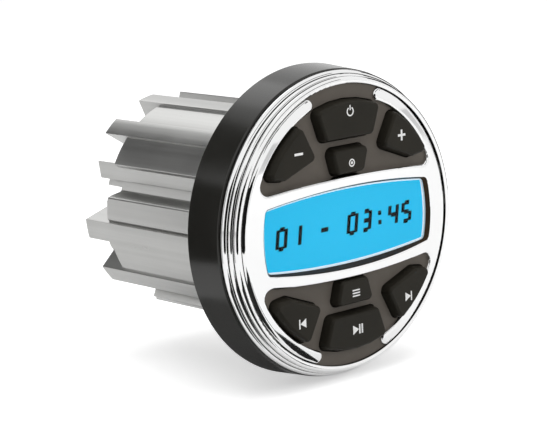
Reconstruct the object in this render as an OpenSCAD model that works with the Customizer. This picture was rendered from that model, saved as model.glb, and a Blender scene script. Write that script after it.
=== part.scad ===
// Round panel-mount marine stereo. Millimetres, +Z up, the face looks along -Y.
// The origin is on the axis, in the plane where the flange gasket meets the panel.

/* [Bezel and collar] */
// Outer diameter of the collar that drops into the panel cut-out
collar_d = 75; // [70:0.1:82]
// Width of the flange by which the bezel overlaps the panel
flange_w = 12; // [11:0.1:14]
// How much smaller the bezel is on each side at its front than at its rear
bezel_flare = 0.9; // [0.4:0.1:2]
// Depth of the bezel from its rear face to its front edge
bezel_depth = 13.1; // [12:0.1:15]
// Radius of the bezel's edges
bezel_edge = 0.4; // [0.2:0.05:0.4]
// Thickness of the bezel's rear wall, the collar and the collar's floor
housing_wall = 3; // [2.4:0.2:3.6]
// How much smaller the cavity behind the face is than the face, on each side
cavity_step = 1.3; // [1:0.1:1.6]
// Length of the collar behind the panel face
collar_length = 8; // [7:0.5:12]
// Thickness of the spigot that centres the collar in the bezel
spigot_t = 1.2; // [0.8:0.1:1.6]
// How much wider the hole in the collar's floor is on each side than the heat sink's bore
floor_step = 1.5; // [0.5:0.1:2]
// How far the panel gasket stands proud of the bezel
gasket_proud = 0.8; // [0.5:0.1:1.5]
// How deep the panel gasket is let into the bezel
gasket_sunk = 0.8; // [0.5:0.1:1.2]
// Gap between the panel gasket and the collar
gasket_gap = 0.9; // [0.5:0.1:1.4]
// Radial width of the panel gasket
gasket_w = 8.8; // [6:0.2:9.2]

/* [Chrome ring] */
// Radial width of the ring from its bore to the outside of its rear bead
ring_w = 3.75; // [3.4:0.05:4.2]
// How much smaller the ring is on each side over its front bead than over its rear bead
crest_step = 1.8; // [1.4:0.1:2]
// Height of the front bead above the bezel
ring_height = 6; // [5.6:0.2:7]
// Radius of the front and rear beads
bead_r = 1.2; // [1:0.05:1.3]
// Radius of the middle bead
middle_bead_r = 1; // [0.8:0.05:1.1]
// Length of the tongue that holds the ring in the bezel
tongue_length = 1.5; // [1:0.1:3]
// Width of that tongue
tongue_w = 1; // [0.6:0.1:1.4]

/* [Face plate] */
// Gap between the face plate and the bore of the chrome ring
face_gap = 0.15; // [0.05:0.05:0.3]
// Radius of the crown of the face plate
crown_r = 330; // [250:1:500]
// Height of the crown above the chrome ring's front bead
crown_proud = 2.9; // [2.6:0.1:3.4]
// Width of the two side arms
arm_w = 4.3; // [3.6:0.1:5]
// Angle from the vertical to the centre of an arm's round tip
arm_tip_angle = 21.2; // [20:0.1:26]
// Height of the bar between the display and a key field, at its middle
face_bar = 2.9; // [2.4:0.1:3.6]
// Rise of the key field's edge on that bar, from its ends to its middle
field_bow = 2.1; // [1:0.1:2.4]
// Radius of the key field's lower corners
field_corner = 2.5; // [1.5:0.1:3.5]
// Radius of the pegs that locate the face plate
peg_r = 1.2; // [0.8:0.1:1.4]
// Distance from the end of the display glass to a peg
peg_wall = 2.5; // [2:0.1:3]
// Distance of the pegs from the horizontal centre plane
peg_z = 3.2; // [2:0.1:4]

/* [Display] */
// Width of the face beside the display opening
display_side = 9.2; // [8.4:0.1:12]
// Height of the display opening at its middle
display_h = 24; // [20:0.2:26]
// Rise of its upper and lower edges
display_bow = 2.2; // [1:0.1:3]
// Bulge of its two ends
display_end_bow = 1.3; // [0.8:0.1:2]
// Radius of its corners
display_corner = 1.6; // [0.8:0.1:2]
// How much wider the opening is on each side at the crown
display_bevel_w = 2.8; // [1:0.1:3.4]
// How much higher the opening is on each side at the crown
display_bevel_h = 1.1; // [0.4:0.1:1.4]
// Margin of the lens and glass behind the opening
display_margin = 1; // [0.6:0.1:1.1]
// Thickness of the clear lens
lens_t = 0.8; // [0.6:0.1:1]
// Depth of the lens seat in the rear of the face plate
lens_seat = 0.5; // [0.3:0.1:0.6]
// Thickness of the display glass
glass_t = 2; // [1.4:0.1:2.4]
// Thickness of the light guide
guide_t = 3; // [2:0.1:3.2]
// Wall of the tray that holds the light guide
tray_wall = 2; // [1.2:0.1:2.6]

/* [Keys] */
// Height of the key tops above the chrome ring's front bead
key_proud = 2.5; // [2:0.1:2.6]
// Height of the key tops above the keypad
key_height = 3.4; // [3:0.1:3.5]
// Travel of a key
key_travel = 1.2; // [0.6:0.1:1.3]
// Free gap round a key
key_gap = 0.35; // [0.3:0.05:0.4]
// How much wider a key is on each side at the keypad than at its top
key_draft = 0.5; // [0.2:0.05:0.5]
// Angle from the vertical to the middle keys' outer corners
middle_key_angle = 17.5; // [15:0.1:19]
// Distance of the middle keys' inner corners from the vertical centre plane
middle_key_foot = 9; // [7.5:0.1:10]
// Gap between the middle and the small keys at their tops
key_web = 3.3; // [3.2:0.1:4]
// Height between the corner centres of the small keys
small_key_h = 4.45; // [3.6:0.05:5]
// Distance of the small keys' wide corners from the vertical centre plane
small_key_head = 5.8; // [5.2:0.1:6.6]
// Distance of the small keys' narrow corners from the vertical centre plane
small_key_foot = 4.5; // [4:0.1:5.2]
// Angle from the vertical to the upper outer corner of the side keys
side_key_high_angle = 33.4; // [31:0.1:35]
// Angle from the vertical to the lower outer corner of the side keys
side_key_low_angle = 57; // [54:0.1:58]
// Distance of the side keys' inner corner from the vertical centre plane
side_key_inner_x = 16.7; // [16:0.1:18]
// Height of the side keys' inner corner above the edge of the key field
side_key_rise = 8; // [7:0.1:9]
// Height of the side keys' lowest corner above the edge of the key field
side_key_lift = 3.9; // [3.4:0.1:5]
// Distance of the side keys' lowest corner from their outer edge, along the horizontal
side_key_cut = 4.24; // [3:0.02:6]
// Radius of a key's corners at its top
key_corner = 1.6; // [1.2:0.1:1.8]
// Depth of the soft edge round a key's top
key_edge = 0.6; // [0.3:0.1:0.8]
// Thickness of the keypad
keypad_t = 1.5; // [1:0.1:1.6]
// Thickness of the skirt that keeps a key behind the keypad
skirt_t = 1; // [0.8:0.1:1.2]
// How far the skirt reaches past the key on each side
skirt_reach = 0.9; // [0.6:0.1:0.9]
// Radius of a key's plunger
plunger_r = 2.2; // [1.6:0.1:2.6]
// Length of a key's plunger
plunger_length = 1.8; // [1.6:0.1:2.6]
// Height of a dome switch
dome_h = 0.7; // [0.5:0.1:1]
// Radius of a dome switch
dome_r = 3.3; // [2.8:0.1:3.6]

/* [Boards and frame] */
// Thickness of the circuit boards
board_t = 1.6; // [1:0.2:2]
// Gap between the control board and the wall of the cavity
board_gap = 0.6; // [0.3:0.1:0.9]
// Distance of the bezel screws from the edge of the control board
bezel_screw_inset = 1.8; // [1.6:0.1:2.2]
// Angle of the bezel screws above and below the horizontal
bezel_screw_angle = 13; // [12:0.5:14]
// Radius of the bezel screws
bezel_screw_r = 1.1; // [0.8:0.05:1.3]
// How far the bezel screws reach into the posts of the front frame
bezel_screw_grip = 3.5; // [2.5:0.1:4.5]
// Wall round the head of a bezel screw
boss_wall = 0.6; // [0.5:0.1:0.7]
// How far the front frame's bars reach past the straight edges of the keypads
keypad_ledge = 1; // [0.6:0.1:1.1]
// Width of the main board
main_board_w = 29; // [28.4:0.1:29.4]
// Height of the main board's underside below the axis
main_board_drop = 4.8; // [4:0.1:6]
// Length of the main board
main_board_length = 64; // [56:0.5:66]
// Width of the connector between the boards
connector_w = 20; // [12:0.5:22]
// Height of that connector
connector_h = 5; // [3:0.1:6]
// Width and length of the control chip
control_chip_w = 12; // [8:0.5:14]
// Thickness of the control chip
control_chip_t = 1.4; // [0.8:0.1:1.8]
// Width of the amplifier chip
amplifier_w = 16; // [12:0.5:18]
// Length of the amplifier chip
amplifier_length = 20; // [14:0.5:26]
// Distance of the amplifier chip from the front of the heat sink
amplifier_place = 15; // [10:0.5:30]
// Thickness of the thermal pad
pad_t = 0.8; // [0.5:0.1:1.2]
// Radius of a capacitor
can_r = 4; // [3:0.1:4.4]
// Height of a capacitor
can_h = 10; // [6:0.5:11]
// Gap between neighbouring capacitors
can_gap = 2.4; // [1:0.1:3]
// Distance of the first capacitors from the front of the heat sink
can_place = 30; // [28:0.5:34]
// Width of the tuner module
tuner_w = 16; // [12:0.5:20]
// Length of the tuner module
tuner_length = 14; // [10:0.5:16]
// Height of the tuner module
tuner_h = 5; // [3:0.1:6]
// Distance of the tuner module from the front of the heat sink
tuner_place = 5; // [2:0.5:7]

/* [Heat sink] */
// How far the fins stay inside the outside of the collar
fin_step = 1.8; // [0.6:0.1:3]
// Diameter of the core
core_d = 53; // [51:0.2:54]
// Length of the extrusion
sink_length = 60; // [56:0.5:70]
// Width of a fin at its tip
fin_tip_w = 6.7; // [5:0.1:7.2]
// Height above the axis of the point on which the sides of all fins converge
fin_focus = 9; // [0:0.5:11]
// Angle by which the fins are turned clockwise, seen from the front
fin_turn = 2.5; // [-2:0.5:4]
// Angle from the top to the first fin
first_fin_angle = 15; // [13:0.5:16]
// Angle from the top to the second fin
second_fin_angle = 43.5; // [42:0.5:45]
// Angle from the top to the short fin
short_fin_angle = 70.5; // [69:0.5:71]
// Angle from the top to the fourth fin
fourth_fin_angle = 102.4; // [101:0.2:104]
// Angle from the top to the fifth fin
fifth_fin_angle = 131.5; // [130:0.5:134]
// How much shorter the short fin is at its upper corner
short_fin_cut = 3.1; // [2:0.1:4.6]
// How much shorter the short fin is at its lower corner
short_fin_low_cut = 6.5; // [5.4:0.1:7.2]
// Width of the bottom foot at its tip
foot_w = 12.4; // [9:0.2:14]
// Distance of the side notch's bottom from the axis
notch_bottom = 19.9; // [19.6:0.1:22]
// Radius of the side notch's bottom
notch_bottom_r = 0.8; // [0.5:0.1:1.2]
// Angle at which the side notch widens
notch_spread = 35; // [26:1:38]
// Radius of the round swelling over each screw hole
swelling_r = 7.2; // [6:0.1:7.6]
// Diameter of the bore
bore_d = 29; // [28.4:0.2:29.4]
// Height of the flat land below the axis inside the bore
land_drop = 9.5; // [8.6:0.1:11]
// Angle from the top to the upper two screws that join the collar to the heat sink
upper_screw_angle = 29; // [27:0.5:31]
// Angle from the top to the lower two of those screws
lower_screw_angle = 117; // [115:0.5:119]
// Radius of those screws
sink_screw_r = 1.5; // [1:0.05:1.7]
// Depth of their holes in the heat sink
sink_screw_depth = 12; // [10:0.5:16]
// Section diameter of the seal between collar and heat sink
seal_d = 1.6; // [1:0.1:1.8]
// Wall between that seal and the hole in the collar's floor
seal_wall = 1.6; // [1.2:0.1:2]
// Wall between that seal and the screws
sink_screw_wall = 1.1; // [0.6:0.1:1.6]

/* [Rear end] */
// Distance of the two bracket holes from the outside of the core
bracket_hole_edge = 3.3; // [2.9:0.1:3.7]
// Radius of the bracket holes, tapped for M5
bracket_hole_r = 2.1; // [1.6:0.05:2.2]
// Depth of the bracket holes
bracket_hole_depth = 12; // [8:0.5:20]
// Width of the ledge in the heat sink on which the rear plate sits
rear_ledge = 4.2; // [3.8:0.1:4.6]
// Thickness of the rear plate
rear_plate_t = 2.4; // [1.6:0.1:3]
// Thickness of the rear gasket
rear_gasket_t = 0.8; // [0.5:0.1:1.2]
// Radius of the rear screws
rear_screw_r = 1.15; // [1:0.05:1.2]
// Length of the rear screws under their heads
rear_screw_length = 8; // [6:0.5:12]
// Radius of the cable hole in the grommet
cable_r = 4; // [3:0.1:4.4]
// Wall of the grommet round the cable hole
grommet_wall = 2; // [1.4:0.1:2.2]
// How far the grommet's lips reach past the rear plate's hole
grommet_lip = 1.8; // [1:0.1:2]
// Thickness of the grommet's lips
grommet_lip_t = 0.8; // [0.5:0.1:0.9]
// Length of the grommet's outer nose
grommet_nose = 2.6; // [1.5:0.1:4]

/* [Hidden] */
$fn = 64;
wide_fn = 128;      // sides of the large round shapes
key_fn = 32;        // sides of the round corners of the keys
arc_steps = 16;     // steps along a long arc
corner_steps = 6;   // steps along a round corner
edge_steps = 4;     // steps along a small edge
fit = 0.1;          // gap round pieces that are fixed together
run = 0.3;          // gap between pieces that move apart
past = 1;           // how far a cutter runs past the surface it cuts
room = 1;           // free length past the end of a screw or a board
overrun = 1.05;     // length to which a fin is drawn before its tip is cut, over its own
head_ratio = 1.75;  // radius of a screw head over the radius of its screw
head_height = 1.4;  // height of a screw head over the radius of its screw
socket_ratio = 0.8; // radius of a screw's hexagon socket over the radius of its screw

// Radii of the round pieces, from the collar outwards and then inwards
collar_r = collar_d / 2;
collar_bore_r = collar_r - housing_wall;
spigot_r = collar_bore_r + spigot_t;
bezel_r = collar_r + flange_w;
bezel_front_r = bezel_r - bezel_flare;
ring_r = bezel_front_r - bezel_edge;
ring_crest_r = ring_r - crest_step;
ring_bore_r = ring_r - ring_w;
tongue_r = (ring_bore_r + ring_r - tongue_w) / 2;
face_r = ring_bore_r - face_gap;
arm_bore_r = face_r - arm_w;
cavity_r = face_r - cavity_step;
control_board_r = cavity_r - board_gap;
bezel_screw_pcr = control_board_r - bezel_screw_inset;
boss_r = bezel_screw_r * head_ratio + boss_wall;
gasket_inner_r = collar_r + gasket_gap;
gasket_outer_r = gasket_inner_r + gasket_w;

// Radii of the heat sink and what is screwed to it
fin_r = collar_r - fin_step;
short_fin_high = fin_r - short_fin_cut;
short_fin_low = fin_r - short_fin_low_cut;
core_r = core_d / 2;
bore_r = bore_d / 2;
floor_bore_r = bore_r + floor_step;
seal_pcr = floor_bore_r + seal_wall + seal_d / 2;
sink_screw_pcr = seal_pcr + seal_d / 2 + sink_screw_wall + sink_screw_r;
bracket_hole_z = core_r - bracket_hole_edge;
rear_plate_r = bore_r + rear_ledge;
rear_screw_pcr = bore_r + rear_ledge / 2;

// Places along the axis, from the panel plane towards the face
flange_y = -gasket_proud;
wall_y = flange_y - housing_wall;
bezel_front_y = flange_y - bezel_depth;
crest_y = bezel_front_y - ring_height;
crown_y = crest_y - crown_proud;
key_y = crest_y - key_proud;
web_y = key_y + key_height;
keypad_back_y = web_y + keypad_t;
skirt_y = keypad_back_y + run;
plunger_y = skirt_y + skirt_t;
plunger_end_y = plunger_y + plunger_length;
dome_y = plunger_end_y + key_travel + run;
board_y = dome_y + dome_h;
board_back_y = board_y + board_t;
lens_y = web_y - lens_seat;
glass_y = lens_y + lens_t;
guide_y = glass_y + glass_t;
tray_floor_y = guide_y + guide_t;

// Places along the axis behind the panel
floor_y = collar_length - housing_wall;
sink_y = collar_length;
sink_end_y = sink_y + sink_length;
rear_seat_y = sink_end_y - rear_plate_t - rear_gasket_t;
rear_plate_y = rear_seat_y + rear_gasket_t;
main_board_y = rear_seat_y - room - main_board_length;

bezel_screw_seat_y = flange_y - gasket_sunk - bezel_screw_r * head_height;
bezel_screw_end_y = board_y - bezel_screw_grip;
main_board_top = board_t - main_board_drop;

// Places on the face
display_w = 2 * (face_r - display_side);
sheet_edge = display_h / 2 + display_margin + 2 * run;
field_edge = display_h / 2 + display_bevel_h + face_bar;
peg_x = display_w / 2 + display_margin + peg_wall + peg_r;
key_reach = arm_bore_r - key_draft - key_gap;

function polar(r, angle) = [r * sin(angle), r * cos(angle)];
function arc_radius(half_chord, rise) = (half_chord * half_chord + rise * rise) / (2 * rise);
function arc_points(c, r, from, to, steps) =
    [for (i = [0:steps]) c + r * [cos(from + (to - from) * i / steps), sin(from + (to - from) * i / steps)]];
// The same arc without its first point, to go on from an arc that ends there
function arc_onward(c, r, from, to, steps) =
    [for (i = [1:steps]) c + r * [cos(from + (to - from) * i / steps), sin(from + (to - from) * i / steps)]];
function heading(v) = atan2(v[1], v[0]);
// A half outline that starts and ends on the vertical axis, closed by its mirror image
function closed_left(half) = concat(half, [for (i = [len(half) - 2:-1:1]) [-half[i][0], half[i][1]]]);
// Where two circles meet, on the side to the right of the line from the first centre to the second
function meeting(c1, r1, c2, r2) =
    let (line = c2 - c1, d = norm(line), a = (r1 * r1 - r2 * r2 + d * d) / (2 * d))
    c1 + line * a / d + sqrt(r1 * r1 - a * a) * [line[1], -line[0]] / d;

// Centres of the round corners of the keys, seen from the front, for the upper right quarter
corner_reach = key_reach - key_corner;
small_key_low = field_edge + key_corner + key_draft + key_gap;
small_key_high = small_key_low + small_key_h;
middle_key_low = small_key_high + 2 * key_corner + key_web;
side_key_foot_z = field_edge + side_key_lift;
side_key_foot = [sqrt(pow(corner_reach, 2) - pow(side_key_foot_z, 2)) - side_key_cut, side_key_foot_z];
side_key_inner = [side_key_inner_x, field_edge + side_key_rise];
side_key = concat(
    arc_points([0, 0], corner_reach, 90 - side_key_high_angle, 90 - side_key_low_angle, edge_steps),
    [side_key_inner, side_key_foot]);
middle_key = concat(
    arc_points([0, 0], corner_reach, 90 - middle_key_angle, 90 + middle_key_angle, edge_steps),
    [[middle_key_foot, middle_key_low], [-middle_key_foot, middle_key_low]]);
small_key = [
    [small_key_head, small_key_high], [-small_key_head, small_key_high],
    [small_key_foot, small_key_low], [-small_key_foot, small_key_low]];
side_key_centre = (side_key[0] + side_key[edge_steps] + side_key_inner + side_key_foot) / 4;
middle_key_centre = [0, (corner_reach + middle_key_low) / 2];
small_key_centre = [0, (small_key_high + small_key_low) / 2];

// Each key: its corners, the place of its plunger, and whether it is mirrored left to right and top to bottom
KEYS = [
    [side_key, side_key_centre, 1, 0],
    [middle_key, middle_key_centre, 0, 0],
    [small_key, small_key_centre, 0, 0],
    [side_key, side_key_centre, 0, 0],
    [side_key, side_key_centre, 1, 1],
    [small_key, small_key_centre, 0, 1],
    [middle_key, middle_key_centre, 0, 1],
    [side_key, side_key_centre, 0, 1]
];

// A flat outline seen from the front, as a slab from y0 back to y1
module slab(y0, y1) {
    translate([0, y1, 0]) rotate([90, 0, 0]) linear_extrude(y1 - y0) children();
}

// A half profile, drawn with the radius along x and the depth along y, turned about the axis
module turned() {
    rotate([-90, 0, 0]) rotate_extrude($fn = wide_fn) children();
}

// A round bar along the axis direction at a place in the face plane
module bar(place, r, y0, y1) {
    translate([place[0], y0, place[1]]) rotate([-90, 0, 0]) cylinder(h = y1 - y0, r = r);
}

module tube(r_in, r_out, y0, y1) {
    turned() translate([r_in, y0]) square([r_out - r_in, y1 - y0]);
}

module mirrored_four() {
    for (left = [0, 1])
        for (low = [0, 1])
            mirror([left, 0, 0]) mirror([0, 0, low]) children();
}

module mirrored_two() {
    for (left = [0, 1]) mirror([left, 0]) children();
}

// A screw along the axis direction: its head sits at seat_y and its shank runs towards -Y or +Y
module screw(place, r, seat_y, end_y) {
    head_y = seat_y + sign(seat_y - end_y) * r * head_height;
    bar(place, r, min(seat_y, end_y), max(seat_y, end_y));
    difference() {
        bar(place, r * head_ratio, min(seat_y, head_y), max(seat_y, head_y));
        translate([place[0], head_y, place[1]]) rotate([90, 0, 0])
            cylinder(h = r * head_height, r = r * socket_ratio, center = true, $fn = 6);
    }
}

// The field of keys above the display, open at its top between the round tips of the two side arms
module key_field() {
    bow_r = arc_radius(arm_bore_r, field_bow);
    bow_centre = [0, field_edge - bow_r];
    corner = meeting(bow_centre, bow_r + field_corner, [0, 0], arm_bore_r - field_corner);
    bow_heading = heading(corner - bow_centre);
    tip_r = (face_r - arm_bore_r) / 2;
    tip = polar((face_r + arm_bore_r) / 2, arm_tip_angle);
    beyond = polar(face_r + 2 * tip_r, arm_tip_angle);
    polygon(closed_left(concat(
        arc_points(bow_centre, bow_r, 90, bow_heading, arc_steps),
        arc_onward(corner, field_corner, bow_heading - 180, heading(corner), corner_steps),
        arc_onward([0, 0], arm_bore_r, heading(corner), 90 - arm_tip_angle, arc_steps),
        arc_onward(tip, tip_r, 270 - arm_tip_angle, 90 - arm_tip_angle, arc_steps),
        [beyond, [0, face_r + past]])));
}

// A four-sided outline with bowed sides and round corners
module barrel(w, h) {
    top_r = arc_radius(w / 2 - display_end_bow, display_bow);
    end_r = arc_radius(h / 2 - display_bow, display_end_bow);
    top_centre = [0, h / 2 - top_r];
    end_centre = [w / 2 - end_r, 0];
    corner = meeting(top_centre, top_r - display_corner, end_centre, end_r - display_corner);
    top_heading = heading(corner - top_centre);
    end_heading = heading(corner - end_centre);
    quarter = concat(
        arc_points(top_centre, top_r, 90, top_heading, arc_steps),
        arc_onward(corner, display_corner, top_heading, end_heading, corner_steps),
        arc_onward(end_centre, end_r, end_heading, 0, corner_steps));
    lower = [for (i = [len(quarter) - 2:-1:0]) [quarter[i][0], -quarter[i][1]]];
    polygon(closed_left(concat(quarter, lower)));
}

// The opening in front of the lens, wider at the crown
module display_opening() {
    flare = [1 + 2 * display_bevel_w / display_w, 1 + 2 * display_bevel_h / display_h];
    translate([0, lens_y, 0]) rotate([90, 0, 0])
        linear_extrude(lens_y - crown_y, scale = flare, slices = 1) barrel(display_w, display_h);
}

// The part of a disc above a straight edge
module disc_above(r, edge) {
    intersection() {
        circle(r, $fn = wide_fn);
        translate([-r, edge]) square([2 * r, r]);
    }
}

module display_block(y0, y1, inset) {
    w = display_w + 2 * display_margin - 2 * inset;
    h = display_h + 2 * display_margin - 2 * inset;
    translate([-w / 2, y0, -h / 2]) cube([w, y1 - y0, h]);
}

// A key outline, wider by grow on each side
module key_outline(corners, grow) {
    hull() for (c = corners) translate(c) circle(key_corner + grow, $fn = key_fn);
}

module key_body(k) {
    corners = KEYS[k][0];
    mirror([KEYS[k][2], 0, 0]) mirror([0, 0, KEYS[k][3]]) {
        hull() {
            for (c = corners) {
                bar_faceted(c, key_corner - key_edge, key_y, key_y + key_edge);
                bar_faceted(c, key_corner, key_y + key_edge, key_y + 2 * key_edge);
                bar_faceted(c, key_corner + key_draft, web_y, skirt_y);
            }
        }
        slab(skirt_y, plunger_y) key_outline(corners, key_draft + skirt_reach);
        bar(KEYS[k][1], plunger_r, plunger_y, plunger_end_y);
    }
}

module bar_faceted(place, r, y0, y1) {
    translate([place[0], y0, place[1]]) rotate([-90, 0, 0]) cylinder(h = y1 - y0, r = r, $fn = key_fn);
}

// The keypad sheet of the upper half, with a hole for each of four keys
module keypad_sheet(first_key) {
    difference() {
        slab(web_y, keypad_back_y) disc_above(face_r, sheet_edge);
        for (k = [first_key:first_key + 3])
            mirror([KEYS[k][2], 0, 0])
                slab(web_y - past, keypad_back_y + past) key_outline(KEYS[k][0], key_draft + key_gap);
    }
}

// A wedge from the focus of the fins out to a tip of the given width
module fin(angle, width) {
    tip = overrun * polar(fin_r, angle);
    side = overrun * width / 2 * polar(1, angle + 90);
    intersection() {
        polygon([[0, fin_focus], tip + side, tip - side]);
        circle(fin_r, $fn = wide_fn);
    }
}

// The short fin: a wedge whose tip is cut off on a slope
module short_fin() {
    half_angle = asin(fin_tip_w / 2 / fin_r);
    high = polar(short_fin_high, short_fin_angle - half_angle);
    low = polar(short_fin_low, short_fin_angle + half_angle);
    slope = (low - high) / norm(low - high);
    outward = [-slope[1], slope[0]] * fin_r;
    difference() {
        fin(short_fin_angle, fin_tip_w);
        polygon([high - slope * fin_tip_w, low + slope * fin_tip_w,
            low + slope * fin_tip_w + outward, high - slope * fin_tip_w + outward]);
    }
}

// The notch under the short fin, with a round bottom
module side_notch() {
    angle = short_fin_angle + asin(fin_tip_w / 2 / fin_r);
    bottom = polar(notch_bottom + notch_bottom_r, angle + asin(notch_bottom_r / notch_bottom));
    upper = polar(fin_r, angle);
    spread = [for (a = [angle, angle + 90]) polar(1, a + notch_spread)];
    lower = bottom + fin_r * spread[0];
    translate(bottom) circle(notch_bottom_r);
    polygon([bottom + notch_bottom_r * polar(1, angle - 90), upper, lower + notch_bottom_r * spread[1],
        bottom + notch_bottom_r * spread[1]]);
}

// The extruded section: a core with swellings over its screw holes, leaning fins, a foot and side notches
module sink_section() {
    difference() {
        union() {
            circle(core_r, $fn = wide_fn);
            for (p = sink_screw_places()) translate(p) circle(swelling_r);
            rotate(-fin_turn) {
                mirrored_two() {
                    for (a = [first_fin_angle, second_fin_angle, fourth_fin_angle, fifth_fin_angle])
                        fin(a, fin_tip_w);
                    short_fin();
                }
                fin(180, foot_w);
            }
        }
        rotate(-fin_turn) mirrored_two() side_notch();
        difference() {
            circle(bore_r, $fn = wide_fn);
            translate([-bore_r, -bore_r]) square([2 * bore_r, bore_r - land_drop]);
        }
        translate([-main_board_w / 2 - fit, -main_board_drop - fit])
            square([main_board_w + 2 * fit, board_t + 2 * fit]);
    }
}

function sink_screw_places() = [
    for (a = [upper_screw_angle, lower_screw_angle]) for (side = [-1, 1]) polar(sink_screw_pcr, side * a)];
function rear_screw_places() = [for (a = [45:90:315]) polar(rear_screw_pcr, a)];
function bezel_screw_places() = [
    for (side = [90, 270]) for (turn = [-1, 1]) polar(bezel_screw_pcr, side + turn * bezel_screw_angle)];

module heat_sink() {
    color("silver") difference() {
        slab(sink_y, sink_end_y) sink_section();
        for (p = sink_screw_places()) bar(p, sink_screw_r, sink_y - past, sink_y + sink_screw_depth);
        bar([0, 0], rear_plate_r + fit, rear_seat_y, sink_end_y + past);
        for (p = rear_screw_places())
            bar(p, rear_screw_r, rear_plate_y - rear_screw_length, rear_seat_y + past);
        for (z = [-bracket_hole_z, bracket_hole_z])
            bar([0, z], bracket_hole_r, sink_end_y - bracket_hole_depth, sink_end_y + past);
    }
}

module rear_gasket() {
    color("dimgray") difference() {
        tube(bore_r, rear_plate_r, rear_seat_y, rear_plate_y);
        for (p = rear_screw_places()) bar(p, rear_screw_r + fit, rear_seat_y - past, rear_plate_y + past);
    }
}

module rear_plate() {
    color("darkgray") difference() {
        bar([0, 0], rear_plate_r, rear_plate_y, sink_end_y);
        bar([0, 0], cable_r + grommet_wall, rear_plate_y - past, sink_end_y + past);
        for (p = rear_screw_places()) bar(p, rear_screw_r + fit, rear_plate_y - past, sink_end_y + past);
    }
}

module rear_screws() {
    color("lightgray") for (p = rear_screw_places())
        screw(p, rear_screw_r - fit, sink_end_y, sink_end_y - rear_screw_length);
}

module cable_grommet() {
    neck_r = cable_r + grommet_wall;
    lip_r = neck_r + grommet_lip;
    nose_y = sink_end_y + grommet_nose;
    color("black") turned() polygon([
        [cable_r, rear_plate_y - grommet_lip_t],
        [lip_r, rear_plate_y - grommet_lip_t],
        [lip_r, rear_plate_y],
        [neck_r, rear_plate_y],
        [neck_r, sink_end_y],
        [lip_r, sink_end_y],
        [lip_r, sink_end_y + grommet_lip_t],
        [cable_r + grommet_wall / 2, nose_y],
        [cable_r, nose_y]
    ]);
}

module front_housing() {
    front_edge = [bezel_front_r - bezel_edge, bezel_front_y + bezel_edge];
    rear_edge = [bezel_r - bezel_edge, flange_y - bezel_edge];
    tongue_end_y = bezel_front_y + tongue_length;
    color([0.1, 0.1, 0.09]) difference() {
        union() {
            turned() polygon(concat(
                [[cavity_r, bezel_front_y]],
                arc_points(front_edge, bezel_edge, -90, 0, edge_steps),
                arc_points(rear_edge, bezel_edge, 0, 90, edge_steps),
                [[spigot_r + fit, flange_y],
                 [spigot_r + fit, wall_y],
                 [cavity_r, wall_y]]));
            intersection() {
                for (p = bezel_screw_places()) bar(p, boss_r, board_back_y, flange_y - gasket_sunk);
                bar([0, 0], cavity_r + past, board_back_y, flange_y);
            }
        }
        tube(tongue_r - fit, tongue_r + tongue_w + fit, bezel_front_y - past, tongue_end_y + fit);
        tube(gasket_inner_r, gasket_outer_r, flange_y - gasket_sunk, flange_y + past);
        for (p = bezel_screw_places()) {
            bar(p, bezel_screw_r + fit, board_back_y - past, flange_y + past);
            bar(p, bezel_screw_r * head_ratio + fit, bezel_screw_seat_y, flange_y + past);
        }
    }
}

module mounting_collar() {
    seal_y = collar_length - seal_d;
    groove_r = seal_d / 2 + fit;
    color([0.1, 0.1, 0.09]) difference() {
        turned() polygon([
            [collar_bore_r, wall_y],
            [spigot_r, wall_y],
            [spigot_r, flange_y],
            [collar_r, flange_y],
            [collar_r, collar_length],
            [floor_bore_r, collar_length],
            [floor_bore_r, floor_y],
            [collar_bore_r, floor_y]
        ]);
        for (p = sink_screw_places()) bar(p, sink_screw_r + fit, floor_y - past, collar_length + past);
        tube(seal_pcr - groove_r, seal_pcr + groove_r, seal_y, collar_length + past);
    }
}

module panel_gasket() {
    color("dimgray") tube(gasket_inner_r + fit, gasket_outer_r - fit, flange_y - gasket_sunk, 0);
}

module sink_seal() {
    color("dimgray") turned() translate([seal_pcr, collar_length - seal_d / 2]) circle(seal_d / 2);
}

module sink_screws() {
    color("lightgray") for (p = sink_screw_places())
        screw(p, sink_screw_r - fit, floor_y, sink_y + sink_screw_depth - room);
}

module bezel_screws() {
    color("lightgray") for (p = bezel_screw_places())
        screw(p, bezel_screw_r - fit, bezel_screw_seat_y, bezel_screw_end_y + fit);
}

module chrome_ring() {
    rear_bead = [ring_r - bead_r, bezel_front_y - bead_r];
    front_bead = [ring_crest_r - bead_r, crest_y + bead_r];
    middle_bead = (rear_bead + front_bead) / 2;
    inner_y = crest_y + bead_r;
    color("gainsboro") turned() {
        polygon([
            [ring_bore_r, bezel_front_y],
            [ring_bore_r, inner_y],
            front_bead,
            middle_bead,
            rear_bead,
            [ring_r - bead_r, bezel_front_y]
        ]);
        for (b = [front_bead, rear_bead]) intersection() {
            translate(b) circle(bead_r);
            translate([ring_bore_r, crest_y - past]) square([ring_w + past, ring_height + past]);
        }
        translate(middle_bead) circle(middle_bead_r);
        translate([tongue_r, bezel_front_y]) square([tongue_w, tongue_length]);
    }
}

module face_plate() {
    crown_centre = [0, crown_y + crown_r];
    edge_angle = asin(face_r / crown_r);
    color("whitesmoke") {
        difference() {
            turned() polygon(concat(
                arc_points(crown_centre, crown_r, -90, -90 + edge_angle, arc_steps),
                [[face_r, web_y], [0, web_y]]));
            for (low = [0, 1]) mirror([0, 0, low]) slab(crown_y - past, web_y + past) key_field();
            display_opening();
            slab(lens_y, web_y + past)
                barrel(display_w + 2 * display_margin + 2 * fit, display_h + 2 * display_margin + 2 * fit);
        }
        mirrored_four() bar([peg_x, peg_z], peg_r, web_y, bezel_front_y);
    }
}

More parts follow.
